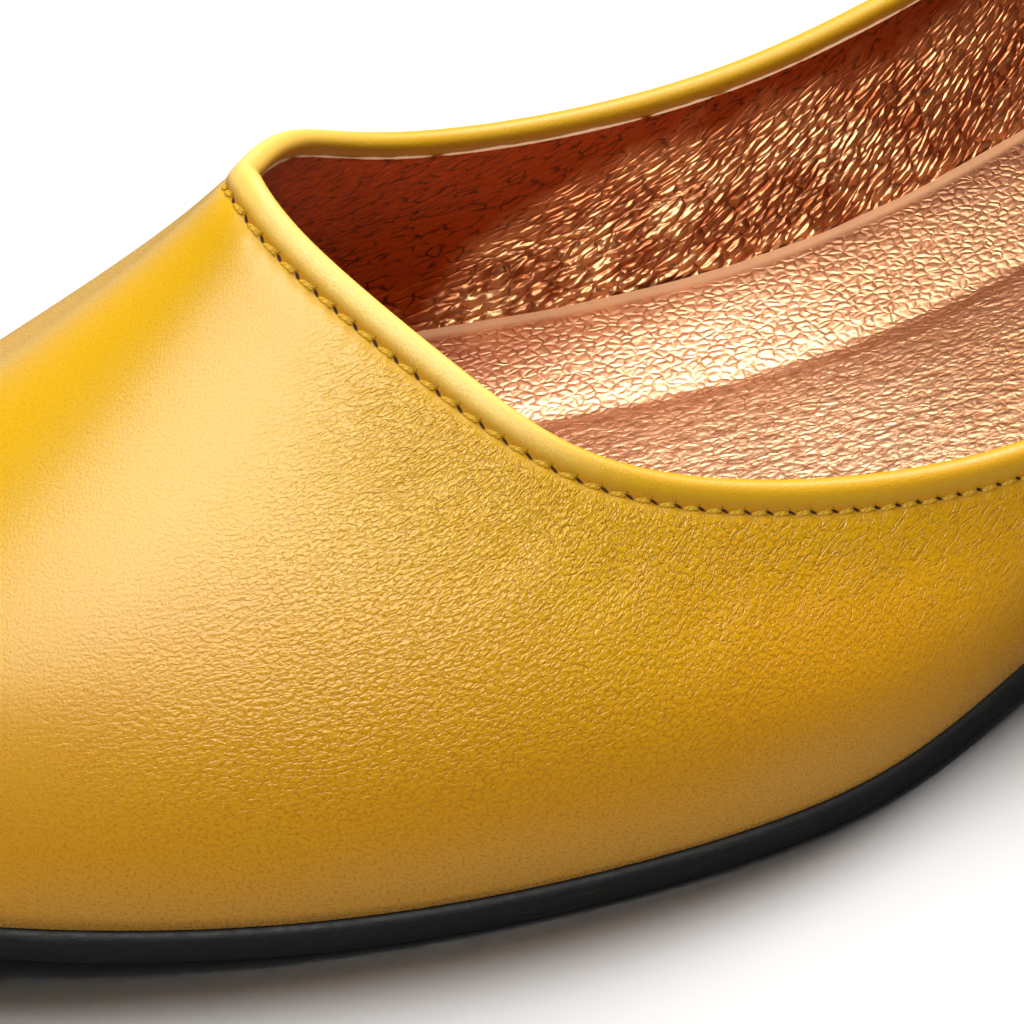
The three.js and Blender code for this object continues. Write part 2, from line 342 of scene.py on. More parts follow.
def makeUpper():
    s = upperShape
    line = topline["stitchLine"]
    columns = stitchCount * topline["columnsPerStitch"]
    stitch = np.linspace(0, stitchCount, columns + 1)
    row = rowAtStitch(stitch)
    length = wallLength(row)[:, None]

    def allRound(values):     # the same rows in every column
        return np.broadcast_to(np.array(values), (columns + 1, len(values)))

    share = np.linspace(0, 1, s["wallRows"])[None, :-1] ** s["wallCrowding"]
    lowWall = length - (length - s["bands"][0]) * share
    ends = (*s["bands"], s["rimRadius"])
    near = [np.linspace(a, b, n)[:-1] for a, b, n in zip(ends, ends[1:], s["bandRows"])]
    outer = np.concatenate([lowWall, allRound(np.concatenate(near))], 1)
    # each stitch draws the skin in at its holes
    draw = np.cos(2 * math.pi * stitch)[:, None] * np.exp(-((outer - line) / s["puckerWidth"]) ** 2)
    outerOffset = foldOffset(outer) - s["pucker"] * draw
    onWall = smoothStep(outer, line + s["creasesFrom"][0], line + s["creasesFrom"][1])
    outerOffset = outerOffset - creased(skinMap(row, outer), stitch, vampCreases) * onWall
    turn = np.linspace(0, math.pi, s["rimSteps"])
    rim = allRound(s["rimRadius"] * (1 - np.sin(turn)))
    rimOffset = allRound(s["foldOut"] + s["rimRadius"] * np.cos(turn))
    inner = allRound(s["turnedIn"])
    innerOffset = allRound(s["turnedInAt"])
    lastBelow = s["turnedIn"][-1]
    hidden = lastBelow + (length - lastBelow) * np.linspace(0, 1, s["hiddenRows"])[None, 1:]
    hiddenOffset = np.full(hidden.shape, s["turnedInAt"][-1])
    below = np.concatenate([outer, rim, inner, hidden, outer[:, :1]], 1)
    offset = np.concatenate([outerOffset, rimOffset, innerOffset, hiddenOffset, outerOffset[:, :1]], 1)
    rimSide = np.sign(np.cos(turn) + 1e-9)
    side = np.concatenate([outer, rim * rimSide, -inner, -hidden, -outer[:, :1]], 1)
    point, _, _, normal = wallFrame(row, below)
    uv = np.stack([np.broadcast_to(stitch[:, None], side.shape), side], -1)
    return gridPiece("upper_leather", point + normal * offset[..., None], uv, skinMap(row, side))


# lining: a thin skin inside the wall, loose enough to fold
liningShape = {
    "edge": 1.85,            # trimmed edge, mm below the crest
    "edgeWander": 0.07,
    "edgeWaves": 60,
    "edgeRound": 0.12,
    "lip": -1.05,            # mm out from the middle of the wall, so minus is inside
    "lipRound": 0.1,
    "lipReach": 1.6,
    "face": -1.0,
    "faceRows": 56,
    "faceCrowding": 1.15,
    "foot": 1.5,             # mm above the upper's lower edge
    "behind": -0.72,         # behind the turned-in leather, then against the wall
    "back": -0.35,
    "backStep": (4.2, 3.8),
    "backRows": 25,
    "crumple": 0.08,
    "crumpleSize": (3.2, 2.4),
    "crumpleFrom": (3.5, 8),
    "foldsFrom": (4, 8),
    "plainSeam": 12,         # stitches on each side of the back seam
}
# folds of the loose lining, in the columns of the upper's creases
liningFolds = [
    (-24, 24, 16, 2.4, 0.26, 20),
    (-29, 21, 18, 2.8, 0.30, 32),
    (-33, 17, 16, 2.6, 0.28, 40),
    (-37, 21, 14, 2.6, 0.30, 48),
    (-41, 17, 14, 2.8, 0.32, 62),
    (-46, 15, 16, 2.6, 0.28, 74),
    (-52, 17, 16, 2.6, 0.28, 80),
    (24, 20, 16, 2.6, 0.26, -30),
    (32, 16, 16, 2.8, 0.28, -45),
    (42, 15, 14, 2.6, 0.28, -65),
]


def makeLining():
    s = liningShape
    columns = stitchCount * topline["columnsPerStitch"]
    stitch = np.linspace(0, stitchCount, columns + 1)
    row = rowAtStitch(stitch)
    length = wallLength(row)[:, None]
    turn = 2 * math.pi * stitch / stitchCount
    wander = ripple(np.cos(turn) * s["edgeWaves"], np.sin(turn) * s["edgeWaves"], 3)[:, None]
    edge = s["edge"] + s["edgeWander"] * wander
    down = np.linspace(0, 1, s["faceRows"])[None, :] ** s["faceCrowding"]
    deep = length - s["foot"]
    start = edge + s["edgeRound"]
    face = start + (deep - start) * down
    settle = np.exp(-(face - edge) / s["lipReach"])
    faceOffset = s["face"] + (s["lip"] - s["face"]) * settle
    crumpleAlong, crumpleDown = s["crumpleSize"]
    waves = ripple(stitch[:, None] * stitchPitch / crumpleAlong + 0 * face, face / crumpleDown, 5)
    seamFree = smoothStep(stitch, 0, s["plainSeam"]) * smoothStep(stitchCount - stitch, 0, s["plainSeam"])
    crumpled = waves * smoothStep(face, *s["crumpleFrom"]) * seamFree[:, None]
    faceOffset = faceOffset + s["crumple"] * crumpled
    folds = creased(skinMap(row, face), stitch, liningFolds)
    faceOffset = faceOffset + folds * smoothStep(face, *s["foldsFrom"])
    lowStep, highStep = s["backStep"]
    hidden = deep - (deep - lowStep) * np.linspace(0, 1, s["backRows"])[None, :]
    behind = np.concatenate([hidden, 0 * length + highStep, edge], 1)
    behindOffset = np.where(behind > highStep, s["back"], s["behind"])
    edgeOffset = np.full(edge.shape, s["lip"] + s["lipRound"])
    below = np.concatenate([edge, face, behind, edge], 1)
    offset = np.concatenate([edgeOffset, faceOffset, behindOffset, edgeOffset], 1)
    point, _, _, normal = wallFrame(row, below)
    uv = np.stack([np.broadcast_to(stitch[:, None] * stitchPitch, below.shape), below], -1)
    return gridPiece("lining", point + normal * offset[..., None], uv, skinMap(row, below))


# insole: a padded sock, cupped at its edge, with a soft crease where the cup ends
insoleShape = {
    "thickness": 2.6,
    "edgeRise": 4.3,         # mm up the wall
    "edgeClear": 0.02,
    "lip": 1.3,
    "cup": 1.8,
    "cupWidth": 15,
    "cupBow": 1.25,
    "creaseDepth": 0.35,
    "creaseWidth": 1.6,
    "swell": 0.4,
    "swellReach": 9,
    "footInset": 0.3,
    "stations": 241,
    "across": 97,
    "under": 9,
    "edgeSteps": 1200,
    "sharpAngle": 50,
}
endCrowding = 0.35           # how far rows draw together at the toe and the back
ringPart = 40                # edge points measured at a time


def stationsAlong(count):     # rows from the toe to the back, closer together at both ends
    share = np.linspace(0, 1, count)
    return backRow * ((1 - endCrowding) * share + endCrowding * (0.5 - 0.5 * np.cos(math.pi * share)))


def acrossRows(stations):     # partner rows on the outer and the inner side
    return stations, rowCount - stations


def edgeDistance(xy, ring):
    best = np.full(xy.shape[:-1], np.inf)
    for start in range(0, len(ring), ringPart):
        part = ring[start:start + ringPart]
        gap = np.linalg.norm(xy[..., None, :] - part, axis=-1).min(-1)
        best = np.minimum(best, gap)
    return best


def makeInsole():
    s = insoleShape

    def edgeRing(row):
        below = wallLength(row)[:, None] - s["edgeRise"]
        point, _, _, normal = wallFrame(row, below)
        return (point + normal * (liningShape["face"] - s["edgeClear"]))[:, 0]

    outerRow, innerRow = acrossRows(stationsAlong(s["stations"]))
    outerEdge, innerEdge = edgeRing(outerRow), edgeRing(innerRow)
    ring = edgeRing(np.linspace(0, rowCount, s["edgeSteps"]))[:, :2]
    even = np.linspace(0, 1, s["across"])
    crowded = 0.5 - 0.5 * np.cos(math.pi * even)
    t = ((crowded + even) / 2)[None, :, None]
    top = outerEdge[:, None] * (1 - t) + innerEdge[:, None] * t
    distance = edgeDistance(top[..., :2], ring)
    distance[:, [0, -1]] = 0
    slope = np.clip(1 - distance / s["cupWidth"], 0, 1)
    crease = np.exp(-((distance - s["cupWidth"]) / s["creaseWidth"]) ** 2)
    swell = smoothStep(distance, s["cupWidth"], s["cupWidth"] + s["swellReach"])
    height = featherHeight(top[..., 0]) + s["thickness"] + s["cup"] * slope ** s["cupBow"]
    height = height - s["creaseDepth"] * crease + s["swell"] * swell
    lip = np.exp(-distance / s["lip"])
    edgeHeight = np.where(t[..., 0] < 0.5, outerEdge[:, None, 2], innerEdge[:, None, 2])
    top[..., 2] = height * (1 - lip) + edgeHeight * lip
    inset = -wall / 2 - s["footInset"]
    lowOuter, lowInner = soleEdge(outerRow, inset), soleEdge(innerRow, inset)
    u = np.linspace(0, 1, s["under"])[None, :, None]
    bottom = lowInner[:, None] * (1 - u) + lowOuter[:, None] * u
    points = np.concatenate([top, bottom, top[:, :1]], 1)
    fromEdge = np.concatenate([distance, np.zeros(bottom.shape[:2]), distance[:, :1]], 1)
    uv = np.stack([points[..., 0], fromEdge], -1)
    return gridPiece("insole_sock", points, uv, sharpAngle=s["sharpAngle"])


# outsole: a thin plate with rounded edges and a low heel in one with it
soleShape = {
    "edge": 3.7,
    "round": 0.7,
    "roundSteps": 4,
    "gap": 0.3,
    "breast": (52.5, 58.5),     # front of the heel, mm from the back
    "breastClear": 0.02,        # rows kept clear of it, in rows of the last
    "heelInset": 0.55,
    "heelTaper": 1.2,
    "stations": 201,
    "across": 17,
    "searchSteps": 2001,
    "sharpAngle": 35,
}


def makeOutsole():
    s = soleShape
    outside = wall / 2 + soleOutset
    corner = np.linspace(0, math.pi / 2, s["roundSteps"])
    toeToBack = np.linspace(0, backRow, s["searchSteps"])
    x = footPoint(toeToBack)[:, 0]
    breastBack, breastFront = (np.interp(-at, -x, toeToBack) for at in s["breast"])
    stations = stationsAlong(s["stations"])
    ahead = stations < breastFront - s["breastClear"]
    after = stations > breastBack + s["breastClear"]
    stations = np.sort(np.concatenate([stations[ahead | after], [breastFront, breastBack]]))
    heel = stations >= breastBack

    def sideProfile(row):     # down the edge, and on down the heel where there is one
        foot, normal = footPoint(row), footNormal(row)
        top = foot[:, 2] - s["gap"]
        base = top - s["edge"]
        level = np.zeros(len(row))
        tapered = outside - s["heelTaper"]
        less = [s["round"] * (1 - np.sin(a)) for a in corner]
        more = [s["round"] * (1 - np.cos(a)) for a in corner]
        steps = [(level + outside - a, top - b) for a, b in zip(less, more)]
        steps += [(level + outside - b, base + a) for a, b in zip(less, more)]
        plateOut, plateHeight = steps[-1]
        heelSteps = [(level + outside - s["heelInset"], base), (level + tapered, level + s["round"])]
        heelSteps += [(level + tapered - b, level + a) for a, b in zip(less[1:], more[1:])]
        for out, height in heelSteps:
            steps.append((np.where(heel, out, plateOut), np.where(heel, height, plateHeight)))
        rows = []
        for out, height in steps:
            point = foot + normal * out[:, None]
            point[:, 2] = height
            rows.append(point)
        return np.stack(rows, 1)

    outerRow, innerRow = acrossRows(stations)
    outerSide, innerSide = sideProfile(outerRow), sideProfile(innerRow)[:, ::-1]
    t = np.linspace(0, 1, s["across"])[None, 1:-1, None]
    bottom = outerSide[:, -1:] * (1 - t) + innerSide[:, :1] * t
    top = innerSide[:, -1:] * (1 - t) + outerSide[:, :1] * t
    points = np.concatenate([outerSide, bottom, innerSide, top, outerSide[:, :1]], 1)
    return gridPiece("outsole_rubber", points, points[..., :2].copy(), sharpAngle=s["sharpAngle"])


# stitches: two strands side by side in each
stitchShape = {
    "length": 1.62,
    "strandWidth": 0.4588,
    "height": 0.5,
    "slant": 11,
    "strandGap": 0.08,
    "strandLean": 4,
    "lift": 0.03,
    "segments": (8, 6),
}


def oneStitch():     # along Z, across X, outward Y
    s = stitchShape
    around, lengthwise = s["segments"]
    bm = bmesh.new()
    bm.loops.layers.uv.new("UVMap")
    for side in (-1, 1):
        made = bmesh.ops.create_uvsphere(
            bm, u_segments=around, v_segments=lengthwise, radius=0.5, calc_uvs=True
        )
        strand = made["verts"]
        lean = Matrix.Rotation(side * math.radians(s["strandLean"]), 3, "Y")
        bmesh.ops.scale(bm, vec=(s["strandWidth"], s["height"], s["length"]), verts=strand)
        bmesh.ops.rotate(bm, cent=(0, 0, 0), matrix=lean, verts=strand)
        bmesh.ops.translate(bm, vec=(side * s["strandGap"], 0, 0), verts=strand)
    mesh = bpy.data.meshes.new("stitch")
    bm.to_mesh(mesh)
    bm.free()
    return mesh


def makeStitches():
    s = stitchShape
    row = rowAtStitch(np.arange(stitchCount) + 0.5)
    below = np.full((stitchCount, 1), topline["stitchLine"])
    point, along, upward, normal = (a[:, 0] for a in wallFrame(row, below))
    seat = foldOffset(below)[:, 0] + upperShape["pucker"] + s["lift"]
    place = inFrame(point + normal * seat[:, None])
    tilt = math.radians(s["slant"])
    lengthwise = along * math.cos(tilt) + upward * math.sin(tilt)
    across = np.cross(normal, lengthwise)
    single = oneStitch()
    bm = bmesh.new()
    for k in range(stitchCount):
        copy = single.copy()
        turn = Matrix((across[k], normal[k], lengthwise[k])).transposed().to_4x4()
        copy.transform(Matrix.Translation(place[k]) @ turn @ Matrix.Scale(mm, 4))
        bm.from_mesh(copy)
        bpy.data.meshes.remove(copy)
    bmesh.ops.recalc_face_normals(bm, faces=bm.faces)
    mesh = bpy.data.meshes.new("topline_stitches")
    bm.to_mesh(mesh)
    bm.free()
    bpy.data.meshes.remove(single)
    mesh.shade_smooth()
    piece = bpy.data.objects.new("topline_stitches", mesh)
    bpy.context.collection.objects.link(piece)
    return piece


# small steps that the materials share
def addNode(tree, kind, inputs=None, **settings):
    made = tree.nodes.new(kind)
    for name, value in settings.items():
        setattr(made, name, value)
    for key, value in (inputs or {}).items():
        if isinstance(value, bpy.types.NodeSocket):
            tree.links.new(value, made.inputs[key])
        else:
            made.inputs[key].default_value = value
    return made


def sums(tree, operation, a, b=0.0, clamp=False):
    return addNode(tree, "ShaderNodeMath", {0: a, 1: b}, operation=operation, use_clamp=clamp).outputs[0]


def times(tree, a, b):
    return sums(tree, "MULTIPLY", a, b)


def plus(tree, a, b):
    return sums(tree, "ADD", a, b)


def minus(tree, a, b):
    return sums(tree, "SUBTRACT", a, b)


def larger(tree, a, b, clamp=False):
    return sums(tree, "MAXIMUM", a, b, clamp)


def ramp(tree, value, low, high, toLow=0.0, toHigh=1.0):
    ends = {"Value": value, "From Min": low, "From Max": high, "To Min": toLow, "To Max": toHigh}
    return addNode(tree, "ShaderNodeMapRange", ends, interpolation_type="SMOOTHSTEP").outputs["Result"]


def blendColour(tree, share, a, b):
    return addNode(tree, "ShaderNodeMix", {0: share, 6: a, 7: b}, data_type="RGBA").outputs[2]


def noise(tree, vector, scale, detail=1.0, roughness=0.5, flat=True):
    values = {"Vector": vector, "Scale": scale, "Detail": detail, "Roughness": roughness}
    made = addNode(tree, "ShaderNodeTexNoise", values, noise_dimensions="2D" if flat else "3D")
    return made.outputs["Fac"], made.outputs["Color"]


def cellEdges(tree, vector, scale):     # distance from the edges of uneven cells
    kind = {"feature": "DISTANCE_TO_EDGE", "voronoi_dimensions": "2D"}
    made = addNode(tree, "ShaderNodeTexVoronoi", {"Vector": vector, "Scale": scale}, **kind)
    return made.outputs["Distance"]


def vectorSums(tree, operation, inputs):
    return addNode(tree, "ShaderNodeVectorMath", inputs, operation=operation).outputs[0]


def startMaterial(name):
    made = bpy.data.materials.new(name)
    made.use_nodes = True
    tree = made.node_tree
    tree.nodes.clear()
    shader = addNode(tree, "ShaderNodeBsdfPrincipled")
    output = addNode(tree, "ShaderNodeOutputMaterial")
    tree.links.new(shader.outputs[0], output.inputs[0])
    return made, tree, shader


def bumpInto(tree, shader, height, strength, depth):
    values = {"Height": height, "Strength": strength, "Distance": depth}
    tree.links.new(addNode(tree, "ShaderNodeBump", values).outputs[0], shader.inputs["Normal"])


def millimetres(tree):
    where = addNode(tree, "ShaderNodeTexCoord").outputs["Object"]
    return vectorSums(tree, "SCALE", {0: where, "Scale": 1 / mm})


def pushed(tree, vector, push, amount):     # the same place, moved about by a soft noise colour
    push = vectorSums(tree, "SUBTRACT", {0: push, 1: (0.5, 0.5, 0.5)})
    push = vectorSums(tree, "SCALE", {0: push, "Scale": amount})
    return vectorSums(tree, "ADD", {0: vector, 1: push})


def laid(tree, place, turn, along, across):     # a pattern's place, turned, in units of its size each way
    turned = {"Vector": place, "Rotation": (0, 0, math.radians(turn)), "Scale": (along, across, 1)}
    return addNode(tree, "ShaderNodeMapping", turned, vector_type="TEXTURE").outputs[0]


def uvParts(tree, name):
    place = addNode(tree, "ShaderNodeUVMap", uv_map=name).outputs[0]
    parts = addNode(tree, "ShaderNodeSeparateXYZ", {0: place})
    return place, parts.outputs[0], parts.outputs[1]


leatherLook = {
    "high": (0.65, 0.35, 0.002, 1),      # dye, paler and yellower high up on the vamp and at the topline: painted light
    "low": (0.63, 0.275, 0.004, 1),      # the same dye, more orange further down: painted shade
    "shadeHeights": (12, 38),              # mm above the floor, where the painted shade gives way to the painted light
    "foot": (0.6, 0.295, 0.045, 1),      # paler and greyer by the sole: a painted reflection of the floor
    "floorReflectHeights": (15, 6),
    "cloudScale": 0.05,                  # soft clouds that make those heights uneven
    "shadeCloud": 16,
    "floorReflectCloud": 5,
    "skinBelow": (3.3, 4.4),             # mm below the crest, past the stitches
    "flank": (0.61, 0.285, 0.003, 1),    # deeper amber on the roll's side down to the stitches and on its inside: painted shade
    "flankTop": (1.9, 2.8),
    "flankFoot": (3.6, 3.0),
    "flankInside": (-0.2, -1.0),
    "rollHighlight": (0.9, 0.56, 0.11, 1),      # paler on top of the roll: a painted highlight
    "rolledInside": (-0.6, 0.3),
    "rolledFoot": (2.9, 1.8),
    "rolledUntil": (20, 12),             # stitches from the middle of the toe
    # painted shade in the valleys, pores and creases
    "trough": (0.34, 0.13, 0.003, 1),
    "valleyShade": 0.4,
    "creaseShade": 0.3,
    "pores": (0.4, 0.3),
    "poreShade": (0.55, 0.25),            # by the sole and higher up
    # painted shade in the needle holes
    "hole": (0.06, 0.014, 0.01, 1),
    "holeRoughness": 0.9,
    "roughness": (0.22, 0.32),
    "rollRougher": 0.16,
    "specular": 0.22,
    "coatRoughness": 0.42,
    "coat": (0.16, 0.04),                # on the roll and on the skin
    "coatFrom": (1.0, 2.3),
}
leatherGrain = {
    "turn": -43,                         # the grain runs forward and up from the sole
    "wave": (0.74, 0.37),                # mm along and across the grain
    "cells": 0.88,                       # cells to a wave
    "cellPush": 0.9,
    "valley": 0.22,
    "broken": (0.5, 0.64, 0.0, 0.9),     # where valleys between cells fade out
    "crease": (3.4, 0.8),
    "creaseWidth": 0.05,
    "fine": 4.0,                         # to the mm
    "unit": 0.0001,                      # the depths are in tenths of a millimetre
    "waveDepth": 0.95,
    "cellDepth": 0.2,
    "creaseDepth": 0.45,
    "bendDeeper": 0.35,
    "fineDepth": (0.34, 0.16),           # on the roll and on the wall
    "toeCalm": (4, 13, 0.05, 1),         # stitches from the middle of the toe
    "heelCalm": (16, 45, 1, 0.4),
    "footCalm": (7, 20, 0.25, 1),        # mm above the floor
    "creaseStart": (4, 12),
    "creaseStop": (50, 38),
    "creaseBelow": (24, 5),              # mm below the crest
}
needleHole = {
    "long": 0.34,
    "short": 0.145,
    "lean": 27,
    "edge": (1.5, 0.4),
    "depth": 1.6,
    "tailLong": 0.26,
    "tailShort": 0.08,
    "tailAside": 0.204,
    "tailEdge": (1.2, 0.2, 0.0, 0.35),
}


def holeMask(tree, stitch, below):     # slit holes between the stitches, each with a small tear up the roll
    s = needleHole
    phase = minus(tree, stitch, sums(tree, "ROUND", stitch))
    across = times(tree, phase, stitchPitch)
    down = minus(tree, below, topline["stitchLine"])
    cosine, sine = math.cos(math.radians(s["lean"])), math.sin(math.radians(s["lean"]))
    longWay = plus(tree, times(tree, across, cosine), times(tree, down, sine))
    shortWay = minus(tree, times(tree, down, cosine), times(tree, across, sine))

    def oval(a, b, halfLong, halfShort):
        a = sums(tree, "POWER", sums(tree, "DIVIDE", a, halfLong), 2.0)
        b = sums(tree, "POWER", sums(tree, "DIVIDE", b, halfShort), 2.0)
        return plus(tree, a, b)

    slit = ramp(tree, oval(longWay, shortWay, s["long"], s["short"]), *s["edge"])
    up = plus(tree, down, s["tailLong"])
    aside = plus(tree, across, s["tailAside"])
    tear = ramp(tree, oval(up, aside, s["tailLong"], s["tailShort"]), *s["tailEdge"])
    return larger(tree, slit, tear)


def leatherMaterial():
    look, grain = leatherLook, leatherGrain
    made, tree, shader = startMaterial("mustard_leather")
    skin = uvParts(tree, "skin")[0]
    _, stitch, below = uvParts(tree, "UVMap")
    level = addNode(tree, "ShaderNodeSeparateXYZ", {0: millimetres(tree)}).outputs[2]
    fromToe = sums(tree, "ABSOLUTE", minus(tree, stitch, toeStitch))
    onSkin = ramp(tree, below, *look["skinBelow"])
    flankShade = times(tree, ramp(tree, below, *look["flankTop"]), ramp(tree, below, *look["flankFoot"]))
    flankShade = larger(tree, flankShade, ramp(tree, below, *look["flankInside"]))
    onRoll = times(tree, ramp(tree, below, *look["rolledInside"]), ramp(tree, below, *look["rolledFoot"]))
    onRoll = times(tree, onRoll, ramp(tree, fromToe, *look["rolledUntil"]))
    # soft cells drawn out along the grain, calm on the toe and down by the sole
    place = laid(tree, skin, grain["turn"], *grain["wave"])
    wave, push = noise(tree, place, 1.0)
    pillow = cellEdges(tree, pushed(tree, place, push, grain["cellPush"]), grain["cells"])
    pillow = ramp(tree, pillow, 0.0, grain["valley"])
    pillow = larger(tree, pillow, ramp(tree, wave, *grain["broken"]))
    relief = times(tree, ramp(tree, fromToe, *grain["toeCalm"]), ramp(tree, fromToe, *grain["heelCalm"]))
    relief = times(tree, relief, ramp(tree, level, *grain["footCalm"]))
    relief = times(tree, relief, onSkin)
    valley = times(tree, minus(tree, 1.0, pillow), relief)
    # thin creases under the stitches where the shoe bends
    crease = noise(tree, laid(tree, skin, grain["turn"], *grain["crease"]), 1.0)[0]
    crease = sums(tree, "ABSOLUTE", minus(tree, crease, 0.5))
    crease = ramp(tree, crease, 0.0, grain["creaseWidth"], 1.0, 0.0)
    bend = times(tree, ramp(tree, fromToe, *grain["creaseStart"]), ramp(tree, fromToe, *grain["creaseStop"]))
    bend = times(tree, bend, times(tree, ramp(tree, below, *grain["creaseBelow"]), onSkin))
    crease = times(tree, crease, bend)
    relief = times(tree, relief, plus(tree, 1.0, times(tree, bend, grain["bendDeeper"])))
    fine = noise(tree, skin, grain["fine"])[0]
    hole = holeMask(tree, stitch, below)
    height = plus(tree, times(tree, wave, grain["waveDepth"]), times(tree, pillow, grain["cellDepth"]))
    height = times(tree, height, relief)
    height = plus(tree, height, times(tree, fine, ramp(tree, onSkin, 0.0, 1.0, *grain["fineDepth"])))
    height = minus(tree, height, times(tree, crease, grain["creaseDepth"]))
    height = minus(tree, height, times(tree, hole, needleHole["depth"]))
    # dye with painted light high up and painted shade low down, a painted floor reflection by the sole,
    # painted shade on the roll's sides, a painted highlight on its top, and painted shade in the valleys,
    # pores, creases and needle holes
    cloud = minus(tree, noise(tree, skin, look["cloudScale"], 2.0)[0], 0.5)
    shadeLevel = plus(tree, level, times(tree, cloud, look["shadeCloud"]))
    # painted shade low on the wall, painted light high up
    colour = blendColour(tree, ramp(tree, shadeLevel, *look["shadeHeights"]), look["low"], look["high"])
    floorReflectLevel = plus(tree, level, times(tree, cloud, look["floorReflectCloud"]))
    # painted reflection of the floor low on the wall by the sole
    colour = blendColour(tree, ramp(tree, floorReflectLevel, *look["floorReflectHeights"]), colour, look["foot"])
    # painted shade on the sides of the roll
    colour = blendColour(tree, flankShade, colour, look["flank"])
    # painted highlight on top of the roll
    colour = blendColour(tree, onRoll, colour, look["rollHighlight"])
    # painted shade in the pores, valleys and creases
    pore = times(tree, ramp(tree, fine, *look["pores"]),
                 ramp(tree, level, *grain["footCalm"][:2], *look["poreShade"]))
    dark = plus(tree, times(tree, valley, look["valleyShade"]), times(tree, pore, onSkin))
    dark = sums(tree, "ADD", dark, times(tree, crease, look["creaseShade"]), clamp=True)
    colour = blendColour(tree, dark, colour, look["trough"])
    # painted shade in the needle holes
    colour = blendColour(tree, hole, colour, look["hole"])
    rough = ramp(tree, fine, 0.3, 0.7, *look["roughness"])
    rough = plus(tree, rough, ramp(tree, onSkin, 0.0, 1.0, look["rollRougher"], 0.0))
    rough = larger(tree, rough, times(tree, hole, look["holeRoughness"]))
    coat = ramp(tree, sums(tree, "ABSOLUTE", below), *look["coatFrom"], *look["coat"])
    shader.inputs["Specular IOR Level"].default_value = look["specular"]
    shader.inputs["Coat Roughness"].default_value = look["coatRoughness"]
    tree.links.new(coat, shader.inputs["Coat Weight"])
    tree.links.new(colour, shader.inputs["Base Color"])
    tree.links.new(rough, shader.inputs["Roughness"])
    bumpInto(tree, shader, height, 1.0, grain["unit"])
    return made


foilCells = {
    "push": (0.7, 0.9),                  # scale and reach of the shove that makes the cells uneven
    "brokenScale": 0.8,
    "broken": (0.4, 0.62, 0.15, 1.0),    # folds fade in places
    "dome": 0.42,
    "domeHeight": 0.55,
    "lumpScale": 1.8,
    "foldDepth": 0.2,
}


def crackleGroup():     # foil on soft leather: plump cells with broken folds between them
    s = foilCells
    group = bpy.data.node_groups.new("foil_crackle", "ShaderNodeTree")
    sockets = (
        ("Place", "INPUT", "NodeSocketVector"),
        ("Groove", "INPUT", "NodeSocketFloat"),
        ("Lump", "INPUT", "NodeSocketFloat"),
        ("Height", "OUTPUT", "NodeSocketFloat"),
        ("Fold", "OUTPUT", "NodeSocketFloat"),
    )
    for name, side, kind in sockets:
        group.interface.new_socket(name=name, in_out=side, socket_type=kind)
    source = addNode(group, "NodeGroupInput")
    target = addNode(group, "NodeGroupOutput")
    place = source.outputs["Place"]
    pushScale, pushReach = s["push"]
    edge = cellEdges(group, pushed(group, place, noise(group, place, pushScale)[1], pushReach), 1.0)
    broken = ramp(group, noise(group, place, s["brokenScale"], 0.0)[0], *s["broken"])
    fold = times(group, ramp(group, edge, 0.0, source.outputs["Groove"], 1.0, 0.0), broken)
    dome = times(group, ramp(group, edge, 0.0, s["dome"]), s["domeHeight"])
    lump = times(group, noise(group, place, s["lumpScale"], 0.0)[0], source.outputs["Lump"])
    height = minus(group, plus(group, dome, lump), times(group, fold, s["foldDepth"]))
    group.links.new(height, target.inputs["Height"])
    group.links.new(fold, target.inputs["Fold"])
    return group


# sizes in mm, patterns as turn in degrees with their size along and across
liningFinish = {
    "map": "skin",
    "base": (0.78, 0.39, 0.18, 1),
    # dark red-brown of the folds, also used as painted shade in the troughs, under the throat and towards
    # the heel
    "fold": (0.285, 0.041, 0.004, 1),
    "crack": (0.04, 0.006, 0.001, 1),
    "raw": (0.52, 0.3, 0.17, 1),
    "rawEdge": (2.02, 1.92),
    "heelShade": (-10, -40, 0.0, 0.2),
    "patch": 0.125,
    "patchShare": (0.0, 0.55),
    "roughness": 0.35,
    "cells": (34, 2.1, 1.2),
    "groove": 0.16,
    "lump": 0.7,
    "cellsGiveWay": -0.5,
    "waves": (38, 2.6, 1.2),
    "waveDetail": 1.2,
    "waveHeight": 1.3,
    "wavyFrom": (3.0, 11.0),
    "calmEdge": (3.0, 14.0, 0.28, 1.0),
    "calmShade": 1.45,
    "depth": 0.00025,
}
sockFinish = {
    "map": "plan",
    "base": (0.88, 0.52, 0.3, 1),
    # dark brown of the folds, also used as painted shade in the troughs, along the edge and towards the heel
    "fold": (0.42, 0.17, 0.07, 1),
    "crack": (0.3, 0.1, 0.04, 1),
    "raw": (1.0, 0.58, 0.31, 1),
    "rawEdge": (1.9, 0.7),
    "heelShade": (0, -22, 0.0, 0.6),
    "patch": 0.1,
    "patchShare": (0.0, 0.12),
    "roughness": 0.43,
    "cells": (-10, 1.2, 0.9),
    "groove": 0.15,
    "lump": 0.4,
    "cellsGiveWay": 0.5,
    "waves": (-8, 1.8, 0.9),
    "waveDetail": 2.0,
    "waveHeight": 1.7,
    "wavyFrom": (12.0, 17.0),
    "calmEdge": (1.0, 2.2, 0.0, 1.0),
    "calmShade": 0.06,
    "depth": 0.00009,
}
foilFolds = {
    "trough": (0.47, 0.33),
    "foldShare": 0.8,
    "troughShade": 0.7,
    "crackShare": 0.9,
    "patchFrom": (0.55, 0.38),
    "roughness": 0.5,
}
# under the throat the lining has less relief further down, and is painted darker there: painted shade under
# the vamp
throatFoil = {"behind": 10.0, "reach": 34.0, "bow": 3.0, "drop": 22.0, "cloudScale": 0.2, "uneven": 6.0}


